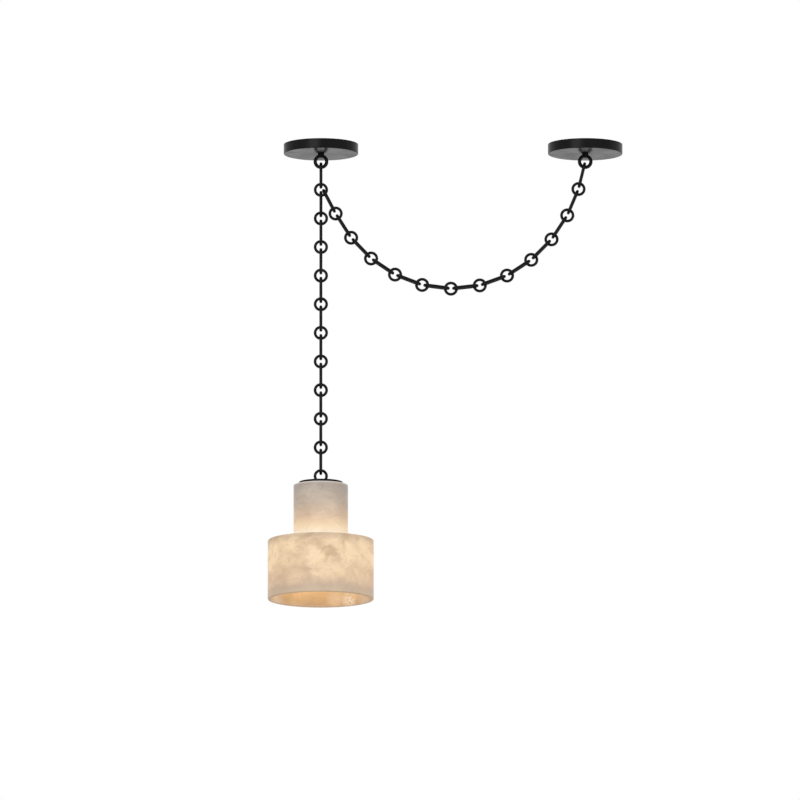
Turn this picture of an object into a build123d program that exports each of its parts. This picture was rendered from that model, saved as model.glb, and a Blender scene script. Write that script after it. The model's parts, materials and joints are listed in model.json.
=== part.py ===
from build123d import *
import math
import os

os.makedirs("parts", exist_ok=True)

# A pendant light on two ceiling canopies, in millimetres. The ceiling is the plane z = 0, the left canopy
# is centred on the origin and the right canopy lies along +X. The front of the light faces -Y.

# Canopies
canopy_spacing = 450.0
canopy_diameter = 127.0
canopy_height = 16.5
canopy_wall = 1.5
canopy_edge = 1.2

# Crossbars behind the canopies, pressed from strip
bar_length = 104.0
bar_width = 20.0
bar_thickness = 2.0
bar_drop = 4.0
bar_middle = 40.0
bar_joggle = 4.0
bar_corner = 4.0
slot_spacing = 76.0
slot_length = 18.0
slot_width = 4.5

# Hollow nipples that carry the canopy loops
nipple_diameter = 8.0
nipple_bore = 5.2
nipple_top_gap = 0.6
nipple_engagement = 5.0
nut_flats = 13.0
nut_height = 3.2

# Earth screws, and the terminal block of the feed canopy
screw_diameter = 4.0
screw_head_diameter = 8.0
screw_head_height = 2.4
screw_offset = 14.0
terminal_width = 10.5
terminal_length = 26.0
terminal_height = 7.5
terminal_corner = 1.0
terminal_offset = 14.25
terminal_entry = 3.4
terminal_poles = 3

# Chain of round rings and long oval links, the links of a little thicker wire
ring_wire = 4.8
ring_diameter = 24.4
link_wire = 5.2
link_length = 45.6
link_width = 16.8
drop_link_count = 11
swag_link_count = 13
swag_ring_gap = 2.0

# Canopy loops
loop_wire = 6.0
loop_diameter = 25.4
hub_diameter = 11.0
hub_height = 6.8
hub_edge = 0.8

# Shade
cap_diameter = 75.0
cap_thickness = 4.1
cap_edge = 0.8
collar_diameter = 14.0
collar_height = 5.0
collar_edge = 1.0
cap_loop_sunk = 2.0
gasket_thickness = 0.8
gasket_margin = 2.5
neck_diameter = 92.5
neck_height = 95.5
neck_roof = 10.0
neck_wall = 7.0
drum_diameter = 180.0
drum_height = 101.5
drum_roof = 10.0
drum_wall = 7.0
rebate_depth = 2.0
stone_edge = 1.6

# Tie tube and the clamp under the neck's roof
tube_diameter = 10.0
tube_bore = 7.0
tube_engagement = 4.0
clamp_diameter = 56.0
clamp_thickness = 3.0
tube_nut_flats = 17.0
tube_nut_height = 5.0

# Lampholder
holder_diameter = 40.0
holder_gap = 0.3
holder_cap_height = 22.0
holder_entry_diameter = 17.0
holder_entry_height = 8.0
holder_dome_rise = 2.5
holder_wall = 2.0
skirt_height = 34.0
skirt_ledge = 2.0
insert_height = 12.0
shell_bore = 27.4
shell_wall = 0.6
shell_height = 22.0
contact_diameter = 8.0
contact_height = 2.0

# Lamp with a screw cap and a small globe
lamp_cap_diameter = 26.4
lamp_cap_height = 22.0
lamp_tip_diameter = 9.0
lamp_tip_height = 2.5
lamp_collar_height = 14.5
lamp_collar_diameter = 34.0
globe_diameter = 45.0
globe_wall = 1.2

# Clearances
seat_gap = 0.3
thread_gap = 0.1
hole_gap = 0.15
stone_hole_gap = 1.0

# Sizes that follow
ring_radius = (ring_diameter - ring_wire) / 2
ring_seat = ring_diameter / 2 - ring_wire - seat_gap
loop_radius = (loop_diameter - loop_wire) / 2
loop_seat = loop_diameter / 2 - loop_wire - seat_gap
link_inside = link_length - 2 * link_wire
pitch = link_inside + 2 * ring_seat

loop_z = -canopy_height - seat_gap - loop_diameter / 2
junction_z = loop_z - loop_seat - link_inside - ring_seat
cap_loop_z = junction_z - (drop_link_count - 1) * pitch
cap_top = cap_loop_z - ring_diameter / 2 + cap_loop_sunk
stone_top = cap_top - cap_thickness - gasket_thickness
drum_top = stone_top - neck_height
drum_bottom = drum_top - drum_height
neck_bore = neck_diameter - 2 * neck_wall
clamp_top = stone_top - neck_roof - gasket_thickness
tube_nut_top = clamp_top - clamp_thickness
holder_top = tube_nut_top - tube_nut_height - holder_gap
holder_bore = holder_diameter - 2 * holder_wall
skirt_top = holder_top - holder_cap_height
insert_bottom = skirt_top - insert_height
lamp_top = insert_bottom - contact_height
lamp_cap_top = lamp_top - lamp_tip_height
lamp_collar_top = lamp_cap_top - lamp_cap_height
globe_top = lamp_collar_top - lamp_collar_height
globe_z = globe_top - math.sqrt(globe_diameter**2 - lamp_collar_diameter**2) / 2

hanging = (Align.CENTER, Align.CENTER, Align.MAX)
standing = (Align.CENTER, Align.CENTER, Align.MIN)


def finish(piece, name):
    piece.part.label = name
    export_step(piece.part, f"parts/{name}.step")


# Ceiling hardware, the same on both sides


def canopy_pan(x):
    with BuildPart(Plane((x, 0, 0))) as pan:
        Cylinder(canopy_diameter / 2, canopy_height, align=hanging)
        fillet(pan.faces().sort_by(Axis.Z)[0].edges(), canopy_edge)
        offset(amount=-canopy_wall, openings=pan.faces().sort_by(Axis.Z)[-1])
        with Locations((0, 0, -canopy_height)):
            Cylinder(nipple_diameter / 2 + hole_gap, canopy_wall, align=standing, mode=Mode.SUBTRACT)
    return pan


def crossbar(x):
    half = bar_length / 2
    inner = bar_middle / 2
    outer = inner + bar_joggle
    with BuildPart() as bar:
        with BuildSketch(Plane((x, 0, 0), x_dir=(1, 0, 0), z_dir=(0, -1, 0))):
            with BuildLine():
                Polyline(
                    (0, -bar_drop),
                    (inner, -bar_drop),
                    (outer, 0),
                    (half, 0),
                    (half, -bar_thickness),
                    (outer, -bar_thickness),
                    (inner, -bar_drop - bar_thickness),
                    (0, -bar_drop - bar_thickness),
                    close=True,
                )
            make_face()
            mirror(about=Plane.YZ)
        extrude(amount=bar_width / 2, both=True)
        fillet(bar.edges().filter_by(Axis.Z).group_by(Axis.X)[0], bar_corner)
        fillet(bar.edges().filter_by(Axis.Z).group_by(Axis.X)[-1], bar_corner)
        with BuildSketch(Plane((x, 0, 0))):
            with Locations((-slot_spacing / 2, 0), (slot_spacing / 2, 0)):
                SlotOverall(slot_length, slot_width)
        extrude(amount=-bar_thickness, mode=Mode.SUBTRACT)
        with BuildSketch(Plane((x, 0, -bar_drop))):
            Circle(nipple_diameter / 2 + thread_gap)
            with Locations((-screw_offset, 0)):
                Circle(screw_diameter / 2 + thread_gap)
        extrude(amount=-bar_thickness, mode=Mode.SUBTRACT)
    return bar


def canopy_nipple(x):
    with BuildPart() as nipple:
        with BuildSketch(Plane((x, 0, -nipple_top_gap))):
            Circle(nipple_diameter / 2)
            Circle(nipple_bore / 2, mode=Mode.SUBTRACT)
        extrude(amount=nipple_top_gap - canopy_height - nipple_engagement)
    return nipple


def canopy_loop(x):
    with BuildPart(Plane((x, 0, -canopy_height))) as loop:
        Cylinder(hub_diameter / 2, hub_height, align=hanging)
        fillet(loop.faces().sort_by(Axis.Z)[0].edges(), hub_edge)
        with Locations(Location((0, 0, loop_z + canopy_height), (90, 0, 0))):
            Torus(loop_radius, loop_wire / 2)
        Cylinder(nipple_diameter / 2 + thread_gap, nipple_engagement, align=hanging, mode=Mode.SUBTRACT)
        Cylinder(nipple_bore / 2, hub_height, align=hanging, mode=Mode.SUBTRACT)
    return loop


for side, side_x in (("left", 0.0), ("right", canopy_spacing)):
    finish(canopy_pan(side_x), f"canopy_{side}")
    finish(crossbar(side_x), f"crossbar_{side}")
    finish(canopy_nipple(side_x), f"canopy_nipple_{side}")
    finish(canopy_loop(side_x), f"canopy_loop_{side}")

# Two thin nuts on each nipple, one above and one below the crossbar
with BuildPart() as nipple_nuts:
    for nut_x in (0.0, canopy_spacing):
        for nut_z in (nut_height - bar_drop, -bar_drop - bar_thickness):
            with BuildSketch(Plane((nut_x, 0, nut_z))):
                RegularPolygon(nut_flats / 2, 6, major_radius=False)
                Circle(nipple_diameter / 2 + thread_gap, mode=Mode.SUBTRACT)
            extrude(amount=-nut_height)
finish(nipple_nuts, "nipple_nuts")

# An earth screw under each crossbar
with BuildPart() as earth_screws:
    for screw_x in (-screw_offset, canopy_spacing - screw_offset):
        with Locations((screw_x, 0, -bar_drop - bar_thickness)):
            Cylinder(screw_head_diameter / 2, screw_head_height, align=hanging)
            Cylinder(screw_diameter / 2, bar_thickness, align=standing)
finish(earth_screws, "earth_screws")

# Terminal block under the feed crossbar, with a wire entry through each pole
block_top = Plane((canopy_spacing + terminal_offset, 0, -bar_drop - bar_thickness))
with BuildPart() as terminal_block:
    with BuildSketch(block_top):
        RectangleRounded(terminal_width, terminal_length, terminal_corner)
    extrude(amount=-terminal_height)
    with BuildSketch(Plane(block_top.origin - (0, 0, terminal_height / 2), x_dir=(0, 1, 0), z_dir=(1, 0, 0))):
        with GridLocations(terminal_length / terminal_poles, 0, terminal_poles, 1):
            Circle(terminal_entry / 2)
    extrude(amount=terminal_width, both=True, mode=Mode.SUBTRACT)
finish(terminal_block, "terminal_block")

# Chain. Rings face the front. Links stand edge-on, in the plane of their own run and the Y axis, and hook
# a ring at each end with a small gap, as they hang.


def chain_ring(x, z):
    with BuildPart(Plane((x, 0, z), z_dir=(0, 1, 0))) as ring:
        Torus(ring_radius, ring_wire / 2)
    return ring


def chain_link(x, z, slope):
    run = Vector(math.cos(slope), 0, -math.sin(slope))
    bend = (link_width - link_wire) / 2
    straight = link_length - link_width
    with BuildPart() as link:
        with BuildSketch(Plane((x, 0, z), x_dir=(0, 1, 0), z_dir=run)):
            with Locations((-bend, 0), (bend, 0)):
                Circle(link_wire / 2)
        extrude(amount=straight / 2, both=True)
        for end in (run, -run):
            bend_centre = Vector(x, 0, z) + end * straight / 2
            with BuildSketch(Plane(bend_centre, x_dir=(0, 1, 0), z_dir=end)):
                with Locations((bend, 0)):
                    Circle(link_wire / 2)
            revolve(axis=Axis(bend_centre, Vector(0, 1, 0).cross(end)), revolution_arc=180)
    return link


# The drop, from the left canopy loop to the cap loop
link_z = loop_z - loop_seat - link_inside / 2
ring_z = junction_z
for count in range(1, drop_link_count + 1):
    finish(chain_link(0, link_z, math.pi / 2), f"link_{count:02d}")
    if count < drop_link_count:
        finish(chain_ring(0, ring_z), "junction_ring" if count == 1 else f"ring_{count:02d}")
    link_z = ring_z - pitch / 2
    ring_z = ring_z - pitch

# The swag's first link hooks the junction ring beside the second link of the drop, as close as its wire lets
# it, and leans out until its ring clears the next ring of the drop. The runs go on from there, ring centre to
# ring centre, to the right canopy loop.
swag_seat = ring_seat - link_wire / 2
swag_seat_angle = 2 * math.asin((link_wire + seat_gap) / (2 * swag_seat))
swag_start = Vector(swag_seat * math.sin(swag_seat_angle), 0, junction_z - swag_seat * math.cos(swag_seat_angle))
swag_leads = [link_wire / 2] + [ring_seat] * (swag_link_count - 1)
swag_tails = [ring_seat] * (swag_link_count - 1) + [loop_seat]

# Law of cosines between the swag's start, its first ring and the drop's next ring
first_run = link_wire / 2 + link_inside + ring_seat
next_ring = Vector(0, 0, junction_z - pitch) - swag_start
rings_apart = ring_diameter + swag_ring_gap
lean = math.acos((first_run**2 + next_ring.length**2 - rings_apart**2) / (2 * first_run * next_ring.length))
first_slope = math.atan2(-next_ring.Z, next_ring.X) - lean


def swag_slopes(first, step):
    """Slopes of the runs. After the first, tangents of half the slopes fall in equal steps."""
    return [first_slope] + [2 * math.atan(first - step * i) for i in range(swag_link_count - 1)]


def swag_miss(first, step):
    """Where the swag ends, seen from the centre of the right canopy loop."""
    end = swag_start - Vector(canopy_spacing, 0, loop_z)
    for slope, lead, tail in zip(swag_slopes(first, step), swag_leads, swag_tails):
        end += Vector(math.cos(slope), 0, -math.sin(slope)) * (lead + link_inside + tail)
    return end


def area(a, b):
    return a.X * b.Z - a.Z * b.X


# Newton's method on the first tangent and the step
first_tangent, tangent_step, nudge = 0.6, 0.1, 1e-5
for _ in range(40):
    miss = swag_miss(first_tangent, tangent_step)
    by_first = (swag_miss(first_tangent + nudge, tangent_step) - miss) * (1 / nudge)
    by_step = (swag_miss(first_tangent, tangent_step + nudge) - miss) * (1 / nudge)
    first_tangent -= area(miss, by_step) / area(by_first, by_step)
    tangent_step -= area(by_first, miss) / area(by_first, by_step)
slopes = swag_slopes(first_tangent, tangent_step)
print("the swag ends", round(swag_miss(first_tangent, tangent_step).length, 6), "mm from the loop's centre")

swag_link_places = []
swag_ring_places = []
place = swag_start
for slope, lead, tail in zip(slopes, swag_leads, swag_tails):
    run = Vector(math.cos(slope), 0, -math.sin(slope))
    swag_link_places.append(place + run * (lead + link_inside / 2))
    place += run * (lead + link_inside + tail)
    swag_ring_places.append(place)

with BuildPart() as swag_links:
    for place, slope in zip(swag_link_places, slopes):
        add(chain_link(place.X, place.Z, slope).part)
finish(swag_links, "swag_links")

with BuildPart() as swag_rings:
    for place in swag_ring_places[:-1]:
        add(chain_ring(place.X, place.Z).part)
finish(swag_rings, "swag_rings")

# Cap of the shade. The tie tube screws into the loop's collar, and is the cord's way in.
with BuildPart(Plane((0, 0, cap_top))) as cap_loop:
    Cylinder(collar_diameter / 2, collar_height, align=standing)
    fillet(cap_loop.faces().sort_by(Axis.Z)[-1].edges(), collar_edge)
    with Locations(Location((0, 0, cap_loop_z - cap_top), (90, 0, 0))):
        Torus(ring_radius, ring_wire / 2)
    Cylinder(collar_diameter / 2, cap_loop_sunk, align=hanging, mode=Mode.SUBTRACT)
    Cylinder(tube_diameter / 2 + thread_gap, tube_engagement, align=standing, mode=Mode.SUBTRACT)
    Cylinder(tube_bore / 2, collar_height, align=standing, mode=Mode.SUBTRACT)
finish(cap_loop, "cap_loop")

with BuildPart(Plane((0, 0, cap_top))) as cap_plate:
    Cylinder(cap_diameter / 2, cap_thickness, align=hanging)
    fillet(cap_plate.edges(), cap_edge)
    Cylinder(tube_diameter / 2 + hole_gap, cap_thickness, align=hanging, mode=Mode.SUBTRACT)
finish(cap_plate, "cap_plate")


def gasket(top, diameter):
    with BuildPart(Plane((0, 0, top))) as ring:
        Cylinder(diameter / 2 - gasket_margin, gasket_thickness, align=hanging)
        Cylinder(tube_diameter / 2 + hole_gap, gasket_thickness, align=hanging, mode=Mode.SUBTRACT)
    return ring


finish(gasket(stone_top + gasket_thickness, cap_diameter), "cap_gasket")
finish(gasket(clamp_top + gasket_thickness, clamp_diameter), "clamp_gasket")

# Alabaster. The neck is closed above, and its foot is set into a rebate in the drum's roof.
with BuildPart(Plane((0, 0, stone_top))) as alabaster_neck:
    Cylinder(neck_diameter / 2, neck_height + rebate_depth, align=hanging)
    fillet(alabaster_neck.faces().sort_by(Axis.Z)[-1].edges(), stone_edge)
    with Locations((0, 0, -neck_roof)):
        Cylinder(neck_bore / 2, neck_height + rebate_depth - neck_roof, align=hanging, mode=Mode.SUBTRACT)
    Cylinder(tube_diameter / 2 + stone_hole_gap, neck_roof, align=hanging, mode=Mode.SUBTRACT)
finish(alabaster_neck, "alabaster_neck")

with BuildPart(Plane((0, 0, drum_top))) as alabaster_drum:
    Cylinder(drum_diameter / 2, drum_height, align=hanging)
    with Locations((0, 0, -drum_roof)):
        Cylinder(drum_diameter / 2 - drum_wall, drum_height - drum_roof, align=hanging, mode=Mode.SUBTRACT)
    fillet(alabaster_drum.edges().filter_by(GeomType.CIRCLE).group_by(Axis.Z)[0], stone_edge)
    fillet(alabaster_drum.edges().filter_by(GeomType.CIRCLE).group_by(Axis.Z)[-1], stone_edge)
    Cylinder(neck_diameter / 2 + hole_gap, rebate_depth, align=hanging, mode=Mode.SUBTRACT)
    Cylinder(neck_bore / 2, drum_roof, align=hanging, mode=Mode.SUBTRACT)
finish(alabaster_drum, "alabaster_drum")

# Tie tube, with the clamp that grips the neck's roof from inside
with BuildPart() as tie_tube:
    with BuildSketch(Plane((0, 0, cap_top + tube_engagement))):
        Circle(tube_diameter / 2)
        Circle(tube_bore / 2, mode=Mode.SUBTRACT)
    extrude(amount=holder_top - holder_entry_height - cap_top - tube_engagement)
finish(tie_tube, "tie_tube")

with BuildPart(Plane((0, 0, clamp_top))) as clamp_washer:
    Cylinder(clamp_diameter / 2, clamp_thickness, align=hanging)
    Cylinder(tube_diameter / 2 + hole_gap, clamp_thickness, align=hanging, mode=Mode.SUBTRACT)
finish(clamp_washer, "clamp_washer")

with BuildPart() as tube_nut:
    with BuildSketch(Plane((0, 0, tube_nut_top))):
        RegularPolygon(tube_nut_flats / 2, 6, major_radius=False)
        Circle(tube_diameter / 2 + thread_gap, mode=Mode.SUBTRACT)
    extrude(amount=-tube_nut_height)
finish(tube_nut, "tube_nut")

# Lampholder: a domed cap on the tube, a skirt screwed to it, and a porcelain insert on the skirt's ledge
with BuildPart() as holder_cap:
    with BuildSketch(Plane.XZ):
        with BuildLine():
            entry = (tube_diameter / 2 + thread_gap, holder_top)
            shoulder = (holder_entry_diameter / 2, holder_top - holder_entry_height)
            rim = (holder_diameter / 2, skirt_top)
            inner_rim = (holder_bore / 2, skirt_top)
            inner_entry = (entry[0], holder_top - holder_entry_height)
            inner_shoulder = (shoulder[0] - holder_wall, inner_entry[1])
            Polyline(inner_entry, entry, (shoulder[0], holder_top), shoulder)
            SagittaArc(shoulder, rim, holder_dome_rise)
            Line(rim, inner_rim)
            SagittaArc(inner_rim, inner_shoulder, -holder_dome_rise)
            Line(inner_shoulder, inner_entry)
        make_face()
    revolve(axis=Axis.Z)
finish(holder_cap, "holder_cap")

with BuildPart(Plane((0, 0, skirt_top))) as holder_skirt:
    Cylinder(holder_diameter / 2, skirt_height, align=hanging)
    Cylinder(holder_bore / 2, insert_height, align=hanging, mode=Mode.SUBTRACT)
    Cylinder(holder_bore / 2 - skirt_ledge, skirt_height, align=hanging, mode=Mode.SUBTRACT)
finish(holder_skirt, "holder_skirt")

with BuildPart(Plane((0, 0, skirt_top))) as holder_insert:
    Cylinder(holder_bore / 2 - hole_gap, insert_height, align=hanging)
finish(holder_insert, "holder_insert")

with BuildPart(Plane((0, 0, insert_bottom))) as screw_shell:
    Cylinder(shell_bore / 2 + shell_wall, shell_height, align=hanging)
    Cylinder(shell_bore / 2, shell_height, align=hanging, mode=Mode.SUBTRACT)
finish(screw_shell, "screw_shell")

with BuildPart(Plane((0, 0, insert_bottom))) as centre_contact:
    Cylinder(contact_diameter / 2, contact_height, align=hanging)
finish(centre_contact, "centre_contact")

# Lamp, screwed up to the contact
with BuildPart(Plane((0, 0, lamp_top))) as lamp_cap:
    Cylinder(lamp_tip_diameter / 2, lamp_tip_height, align=hanging)
    with Locations((0, 0, -lamp_tip_height)):
        Cylinder(lamp_cap_diameter / 2, lamp_cap_height, align=hanging)
finish(lamp_cap, "lamp_cap")

with BuildPart(Plane((0, 0, lamp_collar_top))) as lamp_collar:
    Cone(lamp_collar_diameter / 2, lamp_cap_diameter / 2, lamp_collar_height, align=hanging)
finish(lamp_collar, "lamp_collar")

with BuildPart(Plane((0, 0, globe_z))) as lamp_globe:
    Sphere(globe_diameter / 2)
    Sphere(globe_diameter / 2 - globe_wall, mode=Mode.SUBTRACT)
    split(bisect_by=Plane((0, 0, globe_top)), keep=Keep.BOTTOM)
finish(lamp_globe, "lamp_globe")
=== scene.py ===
import bmesh
import bpy
import json
import math
from mathutils import Matrix, Vector


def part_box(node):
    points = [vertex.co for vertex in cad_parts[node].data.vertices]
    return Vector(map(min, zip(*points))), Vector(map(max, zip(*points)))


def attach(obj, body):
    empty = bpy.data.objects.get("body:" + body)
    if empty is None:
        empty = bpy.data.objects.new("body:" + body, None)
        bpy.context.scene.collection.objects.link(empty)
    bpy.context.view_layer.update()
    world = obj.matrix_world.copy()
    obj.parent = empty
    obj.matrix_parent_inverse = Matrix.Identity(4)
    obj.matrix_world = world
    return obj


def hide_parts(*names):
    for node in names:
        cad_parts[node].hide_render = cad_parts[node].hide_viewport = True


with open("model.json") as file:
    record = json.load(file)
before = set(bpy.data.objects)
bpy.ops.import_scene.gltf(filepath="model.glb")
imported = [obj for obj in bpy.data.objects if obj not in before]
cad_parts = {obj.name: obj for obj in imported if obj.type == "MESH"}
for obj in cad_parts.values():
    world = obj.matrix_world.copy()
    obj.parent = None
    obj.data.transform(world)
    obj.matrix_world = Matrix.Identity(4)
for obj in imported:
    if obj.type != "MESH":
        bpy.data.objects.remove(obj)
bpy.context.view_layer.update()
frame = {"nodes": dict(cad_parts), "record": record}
nodes = frame["nodes"]
scene = bpy.context.scene
scene.view_settings.view_transform = "Standard"
mm = 0.001
weld = 1e-6  # points closer than this, in metres, are one


def linear(hexColour):  # sRGB hex to linear RGBA
    parts = [int(hexColour[i:i + 2], 16) / 255 for i in (1, 3, 5)]
    return (*[c / 12.92 if c <= 0.04045 else ((c + 0.055) / 1.055) ** 2.4 for c in parts], 1.0)


def setInputs(tree, node, inputs):  # values are set, sockets linked, and a node gives its first open output
    for name, value in inputs.items():
        if isinstance(value, bpy.types.Node):
            value = next(socket for socket in value.outputs if socket.enabled)
        if isinstance(value, bpy.types.NodeSocket):
            tree.links.new(value, node.inputs[name])
        else:
            node.inputs[name].default_value = value


# A Mix node's inputs go by number: 0 is the share, 2 and 3 are plain numbers, 6 and 7 are colours
def addNode(tree, kind, inputs=None, stops=None, **settings):
    node = tree.nodes.new("ShaderNode" + kind)
    for name, value in settings.items():
        setattr(node, name, value)
    if stops:  # a ramp's stops, (position, hex colour)
        ramp = node.color_ramp
        while len(ramp.elements) < len(stops):
            ramp.elements.new(0.5)
        for element, (position, colour) in zip(ramp.elements, stops):
            element.position = position
            element.color = linear(colour)
    setInputs(tree, node, inputs or {})
    return node


def startMaterial(name):
    material = bpy.data.materials.new(name)
    material.use_nodes = True
    tree = material.node_tree
    tree.nodes.clear()
    shader = addNode(tree, "BsdfPrincipled")
    addNode(tree, "OutputMaterial", {"Surface": shader})
    place = addNode(tree, "TexCoord").outputs["Object"]
    inMm = addNode(tree, "VectorMath", {0: place, 1: (1 / mm, 1 / mm, 1 / mm)}, operation="MULTIPLY")
    return material, tree, shader, inMm


noiseSpan = (0.3, 0.7)  # most of a noise lies between these


# Colour and gloss drift with the clouds, and a fine relief is a bump of a strength and a depth in mm
def cloudedSkin(tree, shader, look, clouds, relief, bump, tintSpan=noiseSpan):
    tint = addNode(tree, "ValToRGB", {"Fac": clouds}, stops=list(zip(tintSpan, look["colours"])))
    smooth, rough = look["roughness"]
    gloss = addNode(tree, "MapRange", {"Value": clouds, "From Min": noiseSpan[0], "From Max": noiseSpan[1],
                                       "To Min": smooth, "To Max": rough})
    strength, depth = bump
    skin = addNode(tree, "Bump", {"Height": relief, "Strength": strength, "Distance": depth * mm})
    setInputs(tree, shader, {"Base Color": tint, "Roughness": gloss, "Normal": skin})


# Satin black powder coat on steel: a fine orange peel, low sheen face on, a grey sheen at a glance
powderCoat = {"name": "satinBlackPowderCoat", "colours": ("#080808", "#111110"), "tintSpan": (0.3, 0.75),
              "roughness": (0.22, 0.32), "peelMm": 1.4, "patchMm": 26, "bump": (0.1, 0.4), "ior": 1.19}


def satinBlackPowderCoat(look):
    material, tree, shader, inMm = startMaterial(look["name"])
    peel = addNode(tree, "TexNoise", {"Vector": inMm, "Scale": 1 / look["peelMm"], "Detail": 2.0})
    patches = addNode(tree, "TexNoise", {"Vector": inMm, "Scale": 1 / look["patchMm"], "Detail": 3.0})
    cloudedSkin(tree, shader, look, patches, peel, look["bump"], look["tintSpan"])
    setInputs(tree, shader, {"IOR": look["ior"]})
    return material


# Honed alabaster lit from inside: milky and clear clouds in billows, thin veins, brightest near the lamp
alabaster = {
    "lean": (0.1, 0.3, 0), "squash": (0.85, 0.85, 1.3),  # how the beds lie in the stone
    "swirlMm": 60, "swirlPullMm": (60, 60, 45),
    "wispMm": 12, "wispShare": 0.28,
    "crown": (0.75, 0.1), "crownShare": 0.3,  # from a billow's edge to its middle
    "foldMm": 30, "foldRepeat": 4.5, "foldCrest": 0.84, "foldLift": (-0.065, 0.075),
    "patchSquash": 1.5, "patchRagMm": 40, "patchCore": 0.25,
    "veinMm": 34, "veinWidth": 0.018, "veinShade": 0.92,
    "insideShade": (0.86, 1.08), "insideFadeMm": 1,
    "flakeMm": 8, "flakeSpan": (0.36, 0.56), "flakeCoreMm": 4,
    "glowReachMm": (40, 130),  # the ramps below run over these distances from the lamp
    "colours": ("#a3998c", "#b0a698"), "roomLight": (1.0, 0.45),  # the bare stone, and its light out and in
    "grainMm": 3, "roughness": (0.4, 0.56), "bump": (0.06, 0.3), "ior": 1.52, "specular": 0.3,
}
# Each stone's ramps give the lit stone as the eye sees it, and heights run down from its top, in mm:
# patches are (across, height, size, lift), clearer where lift is above 0; edges are (from, to, tint, blend);
# pale spots inside are (centre, size, least share, colour), partly pale crystals in the stone and partly
# a painted sheen on the inner wall towards its sides, crystalline where that share is low
neckStone = {
    "name": "honedAlabasterNeck", "node": "alabaster_neck", "seed": (-214.1, 79.4, -687.8),
    "cloudMm": 42, "billowMm": 34, "clearFrom": (0.32, 0.72),
    "milky": [(0.1, "#fae8cc"), (0.17, "#f3d9b6"), (0.24, "#e7caa9"), (0.32, "#d6baa0"),
              (0.5, "#bfad9b"), (0.76, "#afa297"), (0.9, "#ab9f96")],
    "clear": [(0.1, "#fff5e0"), (0.17, "#fde4c5"), (0.24, "#f3d8b5"), (0.32, "#e5ccb2"),
              (0.5, "#d1bfac"), (0.76, "#c2b6a9"), (0.9, "#bfb5aa")],
    "inside": [(0.1, "#fff0cc"), (0.4, "#f6d8a4"), (0.9, "#d8b488")],
    "radius": 46, "wallMm": 42.5, "roofZ": -1,
    "patches": [(44, -51, 40, -0.3), (38, -17, 28, -0.22), (-22, -23, 30, 0.09), (-6, -11, 26, -0.12),
                (-40, -78, 30, 0.2)],
    "edges": [(-3.0, -1.2, "#d0c7bd", "MIX")], "lip": None, "pale": [],
}
drumStone = {
    "name": "honedAlabasterDrum", "node": "alabaster_drum", "seed": (-261.7, 88.8, -845.9),
    "cloudMm": 40, "billowMm": 30, "clearFrom": (0.2, 0.66),
    "milky": [(0.1, "#fbe2bd"), (0.3, "#ecd0ac"), (0.5, "#d5b592"), (0.6, "#d3b391"),
              (0.75, "#d2b497"), (0.87, "#ccb29c"), (1.0, "#d2bfaa")],
    "clear": [(0.1, "#fff0d0"), (0.3, "#fde6c0"), (0.5, "#f9deb8"), (0.6, "#f7dbb5"),
              (0.75, "#f0d2ad"), (0.87, "#dabea4"), (1.0, "#d7c2ab")],
    "inside": [(0.1, "#fff0cc"), (0.45, "#ecca98"), (0.72, "#d4ab7e"), (0.82, "#b9946d"), (0.94, "#a88d79")],
    "radius": 90, "wallMm": 84, "roofZ": -7.5,
    "patches": [(-8, -39.5, 30, 0.2), (-9, -15, 13, -0.2), (2, -23, 12, -0.24), (11, -29, 14, -0.36),
                (20, -36, 13, -0.38), (51, -26.5, 34, 0.14), (-64, -29.5, 32, 0.2), (-32, -21, 24, -0.13),
                (-84, -45.5, 34, 0.16), (-48, -52, 28, 0.15), (18, -66.5, 32, 0.18), (-63, -77, 24, -0.17),
                (85, -37.5, 30, 0.2), (68, -62.5, 24, 0.05), (-26, -73, 24, -0.14), (-28, -4, 20, -0.16),
                (38, -57, 18, -0.11), (-74, -14, 24, 0.18), (12, -44, 12, -0.12), (32, -27, 13, 0.14)],
    "edges": [(-15.5, -1.5, "#e6e7ec", "MULTIPLY"), (-80, -92, "#f4f6f4", "MULTIPLY")],
    # the rim's painted shade: its heights, its seen colour and its stone colour
    "lip": {"heights": (-100.0, -101.2), "colour": "#bfa17c", "stone": "#988768"},
    "pale": [((49, 69, -92), 22, 0.2, "#e2cbb2"), ((25, 79, -88), 20, 0.8, "#d3b292"),
             ((74, 36, -93), 31, 0.8, "#bea893"), ((-75, 33, -94), 30, 0.8, "#bea893")],
}
globeLow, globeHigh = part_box("lamp_globe")
lampZ = (globeLow.z + globeHigh.x) / mm  # the middle of the round globe


def cloudFolds(tree, bed):  # a slow rise and a quick fall, where one cloud lies over another
    folds = addNode(tree, "TexNoise", {"Vector": bed, "Scale": 1 / alabaster["foldMm"],
                                       "Detail": 1.0, "Roughness": 0.4})
    folds = addNode(tree, "Math", {0: folds, 1: alabaster["foldRepeat"]}, operation="MULTIPLY")
    folds = addNode(tree, "Math", {0: folds}, operation="FRACT")
    crest = alabaster["foldCrest"]
    low, high = alabaster["foldLift"]
    rise = addNode(tree, "MapRange", {"Value": folds, "From Max": crest, "To Min": low, "To Max": high})
    fall = addNode(tree, "MapRange", {"Value": folds, "From Min": crest, "To Min": high, "To Max": low})
    return addNode(tree, "Math", {0: rise, 1: fall}, operation="MINIMUM")


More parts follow.
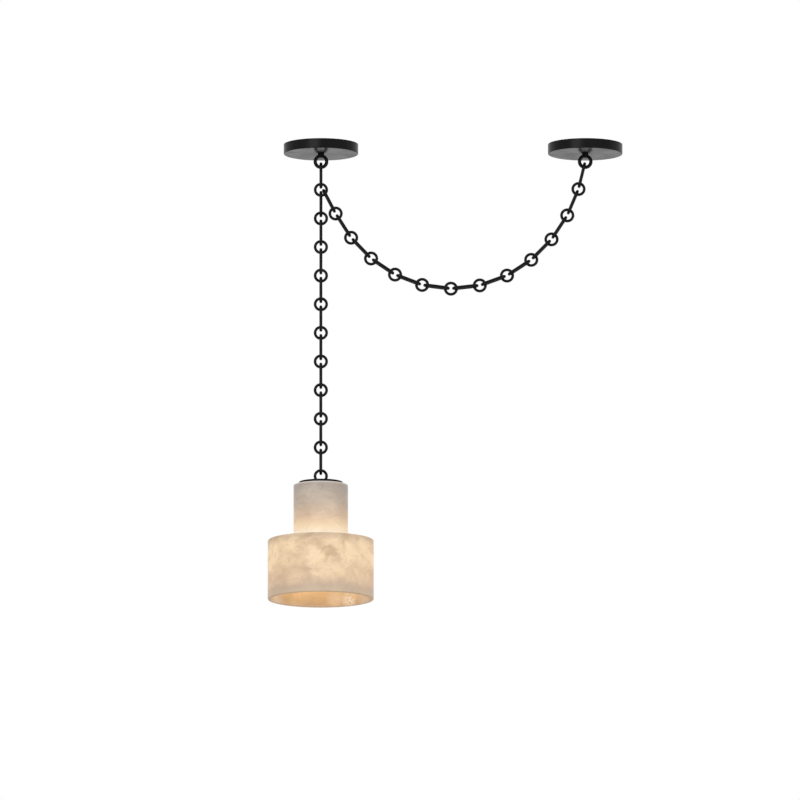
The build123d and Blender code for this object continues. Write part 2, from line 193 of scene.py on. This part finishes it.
def frontPatches(tree, look, inMm, wisps, clearness):  # flattened, with edges that the wisps make ragged
    squash, rag = alabaster["patchSquash"], alabaster["patchRagMm"]
    flattened = addNode(tree, "VectorMath", {0: inMm, 1: (1, 1, squash)}, operation="MULTIPLY")
    ragged = addNode(tree, "VectorMath", {0: wisps.outputs["Color"], 1: (-0.5, -0.5, -0.5)}, operation="ADD")
    ragged = addNode(tree, "VectorMath", {0: ragged, 1: (rag, rag, rag), 2: flattened},
                     operation="MULTIPLY_ADD")
    for across, height, size, lift in look["patches"]:
        centre = (across, -math.sqrt(look["radius"] ** 2 - across ** 2), squash * height)
        away = addNode(tree, "VectorMath", {0: ragged, 1: centre}, operation="DISTANCE")
        core = alabaster["patchCore"] * size
        fade = addNode(tree, "MapRange", {"Value": away, "From Min": size, "From Max": core,
                                          "To Min": 0.0, "To Max": lift}, interpolation_type="SMOOTHSTEP")
        clearness = addNode(tree, "Math", {0: clearness, 1: fade}, operation="ADD")
    return clearness


def beddedClouds(tree, look, inMm):  # gives the bed, pulled about by a slow swirl, and how clear the stone is
    laid = addNode(tree, "Mapping", {"Vector": inMm, "Location": look["seed"],
                                     "Rotation": alabaster["lean"], "Scale": alabaster["squash"]})
    swirl = addNode(tree, "TexNoise", {"Vector": laid, "Scale": 1 / alabaster["swirlMm"], "Detail": 3.0})
    bed = addNode(tree, "VectorMath", {0: swirl.outputs["Color"], 1: alabaster["swirlPullMm"], 2: laid},
                  operation="MULTIPLY_ADD")
    clouds = addNode(tree, "TexNoise", {"Vector": bed, "Scale": 1 / look["cloudMm"],
                                        "Detail": 6.0, "Roughness": 0.55})
    wisps = addNode(tree, "TexNoise", {"Vector": bed, "Scale": 1 / alabaster["wispMm"],
                                       "Detail": 4.0, "Roughness": 0.6})
    billows = addNode(tree, "TexVoronoi", {"Vector": bed, "Scale": 1 / look["billowMm"], "Smoothness": 0.25},
                      feature="SMOOTH_F1")
    rim, middle = alabaster["crown"]
    crowns = addNode(tree, "MapRange", {"Value": billows, "From Min": rim, "From Max": middle})
    clearness = addNode(tree, "Mix", {0: alabaster["wispShare"], 2: clouds, 3: wisps}, data_type="FLOAT")
    clearness = addNode(tree, "Mix", {0: alabaster["crownShare"], 2: clearness, 3: crowns}, data_type="FLOAT")
    clearness = addNode(tree, "Math", {0: clearness, 1: cloudFolds(tree, bed)}, operation="ADD")
    clearness = frontPatches(tree, look, inMm, wisps, clearness)
    milkiest, clearest = look["clearFrom"]
    clearness = addNode(tree, "MapRange", {"Value": clearness, "From Min": milkiest, "From Max": clearest})
    return bed, clearness


def litOutside(tree, look, height, reach, clearness):
    milky = addNode(tree, "ValToRGB", {"Fac": reach}, stops=look["milky"])
    clear = addNode(tree, "ValToRGB", {"Fac": reach}, stops=look["clear"])
    outside = addNode(tree, "Mix", {0: clearness, 6: milky, 7: clear}, data_type="RGBA")
    for low, high, tint, blend in look["edges"]:  # thick corners pass less light, a rounded edge catches more
        edge = addNode(tree, "MapRange", {"Value": height, "From Min": low, "From Max": high},
                       interpolation_type="SMOOTHSTEP")
        outside = addNode(tree, "Mix", {0: edge, 6: outside, 7: linear(tint)},
                          data_type="RGBA", blend_type=blend)
    return outside


def litInside(tree, look, reach, clearness):
    inside = addNode(tree, "ValToRGB", {"Fac": reach}, stops=look["inside"])
    dim, bright = alabaster["insideShade"]
    shade = addNode(tree, "MapRange", {"Value": clearness, "To Min": dim, "To Max": bright})
    return addNode(tree, "VectorMath", {0: inside, "Scale": shade}, operation="SCALE")


def paleSpotsAndSheen(tree, look, inMm, inside):
    flakes = addNode(tree, "TexNoise", {"Vector": inMm, "Scale": 1 / alabaster["flakeMm"],
                                        "Detail": 3.0, "Distortion": 1.6})
    low, high = alabaster["flakeSpan"]
    core = alabaster["flakeCoreMm"]
    for centre, size, least, colour in look["pale"]:
        away = addNode(tree, "VectorMath", {0: inMm, 1: centre}, operation="DISTANCE")
        fade = addNode(tree, "MapRange", {"Value": away, "From Min": size, "From Max": core},
                       interpolation_type="SMOOTHSTEP")
        flake = addNode(tree, "MapRange", {"Value": flakes, "From Min": low, "From Max": high,
                                           "To Min": least})
        share = addNode(tree, "Math", {0: fade, 1: flake}, operation="MULTIPLY")
        inside = addNode(tree, "Mix", {0: share, 6: inside, 7: linear(colour)}, data_type="RGBA")
    return inside


def insideMask(tree, look, inMm, height):  # 1 under the roof and within the wall, 0 elsewhere
    flat = addNode(tree, "VectorMath", {0: inMm, 1: (1, 1, 0)}, operation="MULTIPLY")
    radius = addNode(tree, "VectorMath", {0: flat}, operation="LENGTH")
    limits = ((height, look["roofZ"]), (radius, look["wallMm"]))
    fade = alabaster["insideFadeMm"]
    under, within = [addNode(tree, "MapRange", {"Value": value, "From Min": limit + fade,
                                                "From Max": limit - fade}) for value, limit in limits]
    return addNode(tree, "Math", {0: under, 1: within}, operation="MULTIPLY")


def thinVeins(tree, bed):  # slightly darker lines, where a noise crosses its middle
    veins = addNode(tree, "TexNoise", {"Vector": bed, "Scale": 1 / alabaster["veinMm"],
                                       "Detail": 3.0, "Roughness": 0.5})
    line = addNode(tree, "Math", {0: veins, 1: 0.5}, operation="SUBTRACT")
    line = addNode(tree, "Math", {0: line}, operation="ABSOLUTE")
    return addNode(tree, "MapRange", {"Value": line, "From Max": alabaster["veinWidth"],
                                      "To Min": alabaster["veinShade"]})


def honedAlabaster(look):
    material, tree, shader, inMm = startMaterial(look["name"])
    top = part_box(look["node"])[1].z / mm
    inMm = addNode(tree, "VectorMath", {0: inMm, 1: (0, 0, top)}, operation="SUBTRACT")
    height = addNode(tree, "SeparateXYZ", {0: inMm}).outputs["Z"]
    fromLamp = addNode(tree, "VectorMath", {0: inMm, 1: (0, 0, lampZ - top)}, operation="DISTANCE")
    near, far = alabaster["glowReachMm"]
    reach = addNode(tree, "MapRange", {"Value": fromLamp, "From Min": near, "From Max": far})
    bed, clearness = beddedClouds(tree, look, inMm)
    stone = addNode(tree, "ValToRGB", {"Fac": clearness}, stops=list(zip((0, 1), alabaster["colours"])))

    # what the eye sees, outside and inside
    outside = litOutside(tree, look, height, reach, clearness)
    inside = litInside(tree, look, reach, clearness)
    # pale crystals in the stone, and a painted sheen on the inner wall towards its sides
    if look["pale"]:
        inside = paleSpotsAndSheen(tree, look, inMm, inside)
    lip = look["lip"]
    if lip:  # painted shade: the rim is a little darker and warmer
        low, high = lip["heights"]
        edge = addNode(tree, "MapRange", {"Value": height, "From Min": low, "From Max": high},
                       interpolation_type="SMOOTHSTEP")
        outside = addNode(tree, "Mix", {0: edge, 6: outside, 7: linear(lip["colour"])}, data_type="RGBA")
        stone = addNode(tree, "Mix", {0: edge, 6: stone, 7: linear(lip["stone"])}, data_type="RGBA")
    isInside = insideMask(tree, look, inMm, height)
    seen = addNode(tree, "Mix", {0: isInside, 6: outside, 7: inside}, data_type="RGBA")
    seen = addNode(tree, "VectorMath", {0: seen, "Scale": thinVeins(tree, bed)}, operation="SCALE")

    # the lamp's light that comes through is what the eye sees, less the stone in room light
    out, deep = alabaster["roomLight"]
    roomLight = addNode(tree, "MapRange", {"Value": isInside, "To Min": out, "To Max": deep})
    glow = addNode(tree, "Mix", {0: roomLight, 6: seen, 7: stone},
                   data_type="RGBA", blend_type="SUBTRACT", clamp_result=True)
    grain = addNode(tree, "TexNoise", {"Vector": inMm, "Scale": 1 / alabaster["grainMm"], "Detail": 3.0})
    smooth, rough = alabaster["roughness"]
    honed = addNode(tree, "MapRange", {"Value": grain, "To Min": smooth, "To Max": rough})
    strength, depth = alabaster["bump"]
    bump = addNode(tree, "Bump", {"Height": grain, "Strength": strength, "Distance": depth * mm})
    setInputs(tree, shader, {"Base Color": stone, "Emission Color": glow, "Emission Strength": 1.0,
                             "Roughness": honed, "Normal": bump, "IOR": alabaster["ior"],
                             "Specular IOR Level": alabaster["specular"]})
    return material


# Plated and turned metals: a bright skin with faint clouding, and drawn or turned scratches
zinc = {"name": "brightZincPlate", "colours": ("#a9adb3", "#c6c7c4"), "roughness": (0.28, 0.44),
        "cloudMm": 9, "scratchMm": (0.5, 0.5, 6)}
brassStock = {"name": "turnedBrass", "colours": ("#b98f45", "#d2ac63"), "roughness": (0.24, 0.4),
              "cloudMm": 5, "scratchMm": (4, 4, 0.3)}
nickel = {"name": "rolledNickelPlate", "colours": ("#b9b4a9", "#d0ccc2"), "roughness": (0.2, 0.34),
          "cloudMm": 6, "scratchMm": (4, 4, 0.4)}
scratchBump = (0.08, 0.2)  # strength, and depth in mm


def platedMetal(look):
    material, tree, shader, inMm = startMaterial(look["name"])
    clouds = addNode(tree, "TexNoise", {"Vector": inMm, "Scale": 1 / look["cloudMm"], "Detail": 3.0})
    drawn = addNode(tree, "VectorMath", {0: inMm, 1: look["scratchMm"]}, operation="DIVIDE")
    scratches = addNode(tree, "TexNoise", {"Vector": drawn, "Scale": 1.0, "Detail": 2.0})
    cloudedSkin(tree, shader, look, clouds, scratches, scratchBump)
    setInputs(tree, shader, {"Metallic": 1.0})
    return material


# Moulded and fired insulators: an even colour with faint clouding, and a fine skin
phenolic = {"name": "blackPhenolicMoulding", "colours": ("#121212", "#1d1c1b"), "roughness": (0.36, 0.5),
            "skinMm": 0.8, "ior": 1.6}
whiteMoulding = {"name": "whiteNylonMoulding", "colours": ("#dad7cf", "#e8e6e0"), "roughness": (0.4, 0.52),
                 "skinMm": 0.9, "ior": 1.53}
fired = {"name": "unglazedPorcelain", "colours": ("#d9d4c8", "#ebe7dd"), "roughness": (0.5, 0.66),
         "skinMm": 0.6, "ior": 1.5}
silicone = {"name": "greySiliconeSheet", "colours": ("#9a9993", "#aeada7"), "roughness": (0.46, 0.6),
            "skinMm": 0.7, "ior": 1.41}
insulatorCloudMm = 11
skinBump = (0.07, 0.2)  # strength, and depth in mm


def insulator(look):
    material, tree, shader, inMm = startMaterial(look["name"])
    clouds = addNode(tree, "TexNoise", {"Vector": inMm, "Scale": 1 / insulatorCloudMm, "Detail": 4.0})
    skin = addNode(tree, "TexNoise", {"Vector": inMm, "Scale": 1 / look["skinMm"], "Detail": 2.0})
    cloudedSkin(tree, shader, look, clouds, skin, skinBump)
    setInputs(tree, shader, {"IOR": look["ior"]})
    return material


# Frosted glass over a lit lamp: an even warm light, a little dimmer towards the collar
globeGlass = {"name": "litFrostedGlass", "colour": "#f4ead8", "frostMm": 0.7, "roughness": (0.42, 0.62),
              "light": [(0.0, "#ffe9c4"), (0.6, "#ffdfae"), (1.0, "#f0c489")], "strength": 1.3, "ior": 1.5}


def litFrostedGlass(look):
    material, tree, shader, inMm = startMaterial(look["name"])
    height = addNode(tree, "SeparateXYZ", {0: inMm}).outputs["Z"]
    low, high = globeLow.z / mm, globeHigh.z / mm
    up = addNode(tree, "MapRange", {"Value": height, "From Min": low, "From Max": high})
    light = addNode(tree, "ValToRGB", {"Fac": up}, stops=look["light"])
    frost = addNode(tree, "TexNoise", {"Vector": inMm, "Scale": 1 / look["frostMm"], "Detail": 2.0})
    smooth, rough = look["roughness"]
    gloss = addNode(tree, "MapRange", {"Value": frost, "To Min": smooth, "To Max": rough})
    setInputs(tree, shader, {"Base Color": linear(look["colour"]), "Roughness": gloss, "IOR": look["ior"],
                             "Emission Color": light, "Emission Strength": look["strength"]})
    return material


finishes = {
    "satin_black_metal": satinBlackPowderCoat(powderCoat),
    "zinc_plated_steel": platedMetal(zinc),
    "brass": platedMetal(brassStock),
    "nickel_plated_brass": platedMetal(nickel),
    "alabaster_neck": honedAlabaster(neckStone),
    "alabaster_drum": honedAlabaster(drumStone),
    "white_plastic": insulator(whiteMoulding),
    "black_plastic": insulator(phenolic),
    "porcelain": insulator(fired),
    "silicone": insulator(silicone),
    "frosted_glass": litFrostedGlass(globeGlass),
}
for part in frame["record"]["subparts"]:
    shape = nodes[part["node"]].data
    shape.materials.clear()
    shape.materials.append(finishes[part["material_slot"]])
print("materials:", len(finishes))

sharpAngle = 32  # edges that turn more than this, in degrees, stay crisp


def finishPiece(name, bm, body, slotName, replaced):
    bmesh.ops.remove_doubles(bm, verts=bm.verts, dist=weld)
    bmesh.ops.recalc_face_normals(bm, faces=bm.faces)
    mesh = bpy.data.meshes.new(name)
    bm.to_mesh(mesh)
    bm.free()
    mesh.shade_smooth()
    mesh.set_sharp_from_angle(angle=math.radians(sharpAngle))
    mesh.materials.append(finishes[slotName])
    piece = bpy.data.objects.new(name, mesh)
    scene.collection.objects.link(piece)
    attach(piece, body)
    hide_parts(replaced)
    print("piece:", name, len(mesh.polygons), "faces")


def turn(bm, outline, base, steps):  # spins an outline of (radius, height above the base), in mm
    line = [bm.verts.new((radius * mm, 0, base + height * mm)) for radius, height in outline]
    edges = [bm.edges.new(pair) for pair in zip(line, line[1:])]
    bmesh.ops.spin(bm, geom=line + edges, axis=(0, 0, 1), angle=2 * math.pi, steps=steps, use_merge=True)
    bmesh.ops.remove_doubles(bm, verts=bm.verts, dist=weld)


# Threads, cut on the hollow nipples and the tie tube and rolled on the lamp's cap
nipple = {"crest": 4.0, "root": 3.4, "pitch": 1.25, "bore": 2.6}
tieTube = {"crest": 5.0, "root": 4.4, "pitch": 1.0, "bore": 3.5}
lampCap = {"crest": 13.2, "root": 12.2, "pitch": 3.63, "bore": None, "length": 17.5, "lap": 1.0,
           "neck": 11.4, "shoulder": 0.6, "glass": 6.2, "tip": 4.5, "tipHeight": 2.5, "tipRound": 1.2,
           "tipDome": 0.3, "tipFlat": 0.7}


def cutThread(bm, look, low, high):
    crest, root, pitch = look["crest"] * mm, look["root"] * mm, look["pitch"] * mm
    steps = 24  # to a turn
    turns = math.ceil((high - low) / pitch) + 2  # one spare turn past each end
    profile = ((root, 0), (crest, 0.4), (crest, 0.6), (root, 1))  # (radius, share of the pitch)
    flank = [bm.verts.new((radius, 0, low + (share - 1) * pitch)) for radius, share in profile]
    edges = [bm.edges.new(pair) for pair in zip(flank, flank[1:])]
    bmesh.ops.spin(bm, geom=flank + edges, axis=(0, 0, 1), dvec=(0, 0, pitch / steps),
                   angle=2 * math.pi * turns, steps=steps * turns)
    bmesh.ops.remove_doubles(bm, verts=bm.verts, dist=weld)
    for z, side in ((low, -1), (high, 1)):
        bmesh.ops.bisect_plane(bm, geom=bm.verts[:] + bm.edges[:] + bm.faces[:], plane_co=(0, 0, z),
                               plane_no=(0, 0, side), clear_outer=True)
        if look["bore"]:
            end = Matrix.Translation((0, 0, z))
            bmesh.ops.create_circle(bm, segments=steps, radius=look["bore"] * mm, matrix=end)
        rims = [e for e in bm.edges if len(e.link_faces) < 2 and all(abs(v.co.z - z) < weld for v in e.verts)]
        bmesh.ops.triangle_fill(bm, use_beauty=True, edges=rims)
    if look["bore"]:
        bmesh.ops.bridge_loops(bm, edges=[e for e in bm.edges if len(e.link_faces) == 1])


for side in ("left", "right"):
    low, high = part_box("canopy_nipple_" + side)
    bm = bmesh.new()
    cutThread(bm, nipple, low.z, high.z)
    axis = high.x - nipple["crest"] * mm  # the crest is the box's edge
    bmesh.ops.translate(bm, verts=bm.verts, vec=(axis, 0, 0))
    finishPiece("threadedNipple" + side.title(), bm, "ceiling", "zinc_plated_steel", "canopy_nipple_" + side)

low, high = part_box("tie_tube")
bm = bmesh.new()
cutThread(bm, tieTube, low.z, high.z)
finishPiece("threadedTieTube", bm, "shade", "zinc_plated_steel", "tie_tube")

low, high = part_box("lamp_cap")
bm = bmesh.new()
cutThread(bm, lampCap, low.z, low.z + lampCap["length"] * mm)
tall = (high.z - low.z) / mm
foot = lampCap["length"] - lampCap["lap"]
shoulder = lampCap["length"] + lampCap["shoulder"]
seat = tall - lampCap["tipHeight"]
neck, tip = lampCap["neck"], lampCap["tip"]
turn(bm, [(0, foot), (neck, foot), (neck, shoulder), (lampCap["glass"], seat), (tip, seat),
          (tip, tall - lampCap["tipRound"]), (tip * lampCap["tipFlat"], tall - lampCap["tipDome"]),
          (0, tall)], low.z, steps=48)
finishPiece("rolledLampCap", bm, "shade", "nickel_plated_brass", "lamp_cap")

# Hex nuts, chamfered at both faces: the corners fall away from a round land
nippleNuts = {"flats": 13.0, "height": 3.2, "bore": 4.1}
tubeNut = {"flats": 17.0, "height": 5.0, "bore": 5.1}
nutChamfer = {"land": 0.95, "angle": 30}  # the land's width is a share of the flats'


def addHexNut(bm, look, x, top):
    apothem = look["flats"] / 2 * mm
    land = nutChamfer["land"] * apothem
    slope = math.tan(math.radians(nutChamfer["angle"]))
    sixth = math.pi / 3
    rings = []
    for z, inward in ((top, -1), (top - look["height"] * mm, 1)):
        level = []
        for radius in (look["bore"] * mm, land, 1.0):
            face = Matrix.Translation((x, 0, z))
            circle = bmesh.ops.create_circle(bm, segments=24, radius=radius, matrix=face)["verts"]
            level.append(list({e for v in circle for e in v.link_edges}))
        for v in circle:  # the last circle, of radius 1, becomes the hexagon, lower towards its corners
            way = Vector((v.co.x - x, v.co.y))
            reach = apothem / math.cos(math.atan2(way.y, way.x) % sixth - sixth / 2)
            v.co = (x + way.x * reach, way.y * reach, z + inward * (reach - land) * slope)
        rings += level if inward < 0 else level[::-1]
    for one, other in zip(rings, rings[1:] + rings[:1]):
        bmesh.ops.bridge_loops(bm, edges=one + other)


low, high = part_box("nipple_nuts")
corner = nippleNuts["flats"] / 2 * mm / math.cos(math.pi / 6)
bm = bmesh.new()
for x in (low.x + corner, high.x - corner):
    for top in (high.z, low.z + nippleNuts["height"] * mm):
        addHexNut(bm, nippleNuts, x, top)
finishPiece("chamferedNippleNuts", bm, "ceiling", "zinc_plated_steel", "nipple_nuts")

low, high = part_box("tube_nut")
bm = bmesh.new()
addHexNut(bm, tubeNut, 0, high.z)
finishPiece("chamferedTubeNut", bm, "shade", "zinc_plated_steel", "tube_nut")

# Pan-head earth screws with a cross recess
earthScrews = {"head": 4.0, "headHeight": 2.4, "headSide": 1.2, "headRound": (0.5, 2.0), "crown": 2.3,
               "shank": 2.0, "chamfer": 0.3, "blade": 0.55, "depth": 1.3}


def crownFaces(screw, z):
    return [f for f in screw.faces if all(abs(v.co.z - z) < weld for v in f.verts)]


low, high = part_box("earth_screws")
tall = (high.z - low.z) / mm
head, shank, chamfer = earthScrews["head"], earthScrews["shank"], earthScrews["chamfer"]
seat = earthScrews["headHeight"]
inset, drop = earthScrews["headRound"]
blade = earthScrews["blade"] * mm
bm = bmesh.new()
for x in (low.x + head * mm, high.x - head * mm):  # one in each canopy
    screw = bmesh.new()
    turn(screw, [(0, tall), (shank - chamfer, tall), (shank, tall - chamfer), (shank, seat), (head, seat),
                 (head, seat - earthScrews["headSide"]), (head - inset, seat - drop),
                 (earthScrews["crown"], 0)], low.z, steps=32)
    bmesh.ops.edgeloop_fill(screw, edges=[e for e in screw.edges if e.is_boundary])
    for side in (1, -1):
        for way in ((1, 0, 0), (0, 1, 0)):
            crown = crownFaces(screw, low.z)
            around = list({v for f in crown for v in f.verts}) + list({e for f in crown for e in f.edges})
            edge = Vector(way) * side * blade
            bmesh.ops.bisect_plane(screw, geom=crown + around, plane_co=edge, plane_no=way)
    middles = [(f, f.calc_center_median()) for f in crownFaces(screw, low.z)]
    cross = [f for f, c in middles if min(abs(c.x), abs(c.y)) < 0.5 * blade]
    sunk = bmesh.ops.extrude_face_region(screw, geom=cross)["geom"]
    floorVerts = [v for v in sunk if isinstance(v, bmesh.types.BMVert)]
    bmesh.ops.translate(screw, verts=floorVerts, vec=(0, 0, earthScrews["depth"] * mm))
    bmesh.ops.translate(screw, verts=screw.verts, vec=(x, 0, 0))
    spare = bpy.data.meshes.new("screw")
    screw.to_mesh(spare)
    screw.free()
    bm.from_mesh(spare)
    bpy.data.meshes.remove(spare)
finishPiece("recessedEarthScrews", bm, "ceiling", "brass", "earth_screws")

# Lampholder skirt with moulded grip ribs
skirt = {"radius": 20, "bore": 18, "ledge": 16, "seat": 12, "round": 0.8, "band": (5, 27), "ribs": 44,
         "groove": 0.55, "flank": 0.2}
low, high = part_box("holder_skirt")
tall = (high.z - low.z) / mm
r, edge, ledge, bore = skirt["radius"], skirt["round"], skirt["ledge"], skirt["bore"]
ease = 0.3 * edge  # about the middle of the quarter round
seat = tall - skirt["seat"]
below, above = skirt["band"]
bm = bmesh.new()
turn(bm, [(ledge, 0), (r - edge, 0), (r - ease, ease), (r, edge), (r, below), (r, above), (r, tall - edge),
          (r - edge, tall), (bore, tall), (bore, seat), (ledge, seat), (ledge, 0)],
     low.z, steps=2 * skirt["ribs"])
bmesh.ops.recalc_face_normals(bm, faces=bm.faces)
middle = low.z + (below + above) / 2 * mm
middles = [(f, f.calc_center_median()) for f in bm.faces]
band = [(f, c) for f, c in middles if abs(c.z - middle) < mm and c.xy.length > (r + bore) / 2 * mm]
band.sort(key=lambda pair: math.atan2(pair[1].y, pair[1].x))
grooves = [f for f, c in band[::2]]  # every other face sinks
bmesh.ops.inset_individual(bm, faces=grooves, thickness=skirt["flank"] * mm, depth=-skirt["groove"] * mm)
finishPiece("ribbedSkirt", bm, "shade", "black_plastic", "holder_skirt")

# Camera far off with a long lens, looking up from below
view = {"aim": (134.6, 0, -441.0), "rise": 9.5, "widthMm": 1360, "lens": 1000, "sensor": 36, "clipEnd": 200}
lens = bpy.data.cameras.new("camera")
camera = bpy.data.objects.new("camera", lens)
scene.collection.objects.link(camera)
lens.lens = view["lens"]
lens.sensor_width = view["sensor"]
lens.clip_end = view["clipEnd"]
rise = math.radians(view["rise"])
distance = view["widthMm"] * mm * view["lens"] / view["sensor"]
camera.location = Vector(view["aim"]) * mm - distance * Vector((0, math.cos(rise), math.sin(rise)))
camera.rotation_euler = (math.pi / 2 + rise, 0, 0)
scene.camera = camera

# Soft studio light and a white surround, which metal and glass mirror too. Sizes are in metres.
# The floor lies lower than the camera is far, so that a view from below sees the part and not the floor
studio = {"surround": 0.68, "floorZ": -45.0, "floorReach": 340, "floorColour": "#f4f4f2",
          "floorRoughness": 0.9, "lampSize": 2.4, "lampAim": (0.2, 0, -0.4)}
studioLamps = {"keyLamp": ((-1.6, -3.9, 0.8), 55), "fillLamp": ((2.6, -3.2, -1.2), 32)}  # place and watts
white = (1, 1, 1, 1)


def whiteToTheEye(tree):  # 1 for rays from the camera, and for mirrored and refracted rays
    path = addNode(tree, "LightPath").outputs
    rays = addNode(tree, "Math", {0: path["Is Camera Ray"], 1: path["Is Glossy Ray"]}, operation="ADD")
    return addNode(tree, "Math", {0: rays, 1: path["Is Transmission Ray"]}, operation="ADD", use_clamp=True)


world = bpy.data.worlds.new("studio")
scene.world = world
world.use_nodes = True
tree = world.node_tree
tree.nodes.clear()
soft = addNode(tree, "Background", {"Color": white, "Strength": studio["surround"]})
backdrop = addNode(tree, "Background", {"Color": white, "Strength": 1.0})
both = addNode(tree, "MixShader", {0: whiteToTheEye(tree), 1: soft, 2: backdrop})
addNode(tree, "OutputWorld", {"Surface": both})

bm = bmesh.new()
bmesh.ops.create_grid(bm, x_segments=1, y_segments=1, size=studio["floorReach"])
bmesh.ops.translate(bm, verts=bm.verts, vec=(0, 0, studio["floorZ"]))
floorMesh = bpy.data.meshes.new("floor")
bm.to_mesh(floorMesh)
bm.free()
floor = bpy.data.objects.new("floor", floorMesh)
scene.collection.objects.link(floor)
floorMaterial, tree, shader = startMaterial("paleFloor")[:3]
setInputs(tree, shader, {"Base Color": linear(studio["floorColour"]), "Roughness": studio["floorRoughness"]})
backdrop = addNode(tree, "Emission", {"Color": white, "Strength": 1.0})
both = addNode(tree, "MixShader", {0: whiteToTheEye(tree), 1: shader, 2: backdrop})
setInputs(tree, tree.nodes["Material Output"], {"Surface": both})
floorMesh.materials.append(floorMaterial)

for name, (place, power) in studioLamps.items():
    data = bpy.data.lights.new(name, "AREA")
    data.size = studio["lampSize"]
    data.energy = power
    lamp = bpy.data.objects.new(name, data)
    lamp.location = place
    aim = Vector(studio["lampAim"]) - Vector(place)
    lamp.rotation_euler = aim.to_track_quat("-Z", "Y").to_euler()
    scene.collection.objects.link(lamp)
print("camera, surround and lamps set")
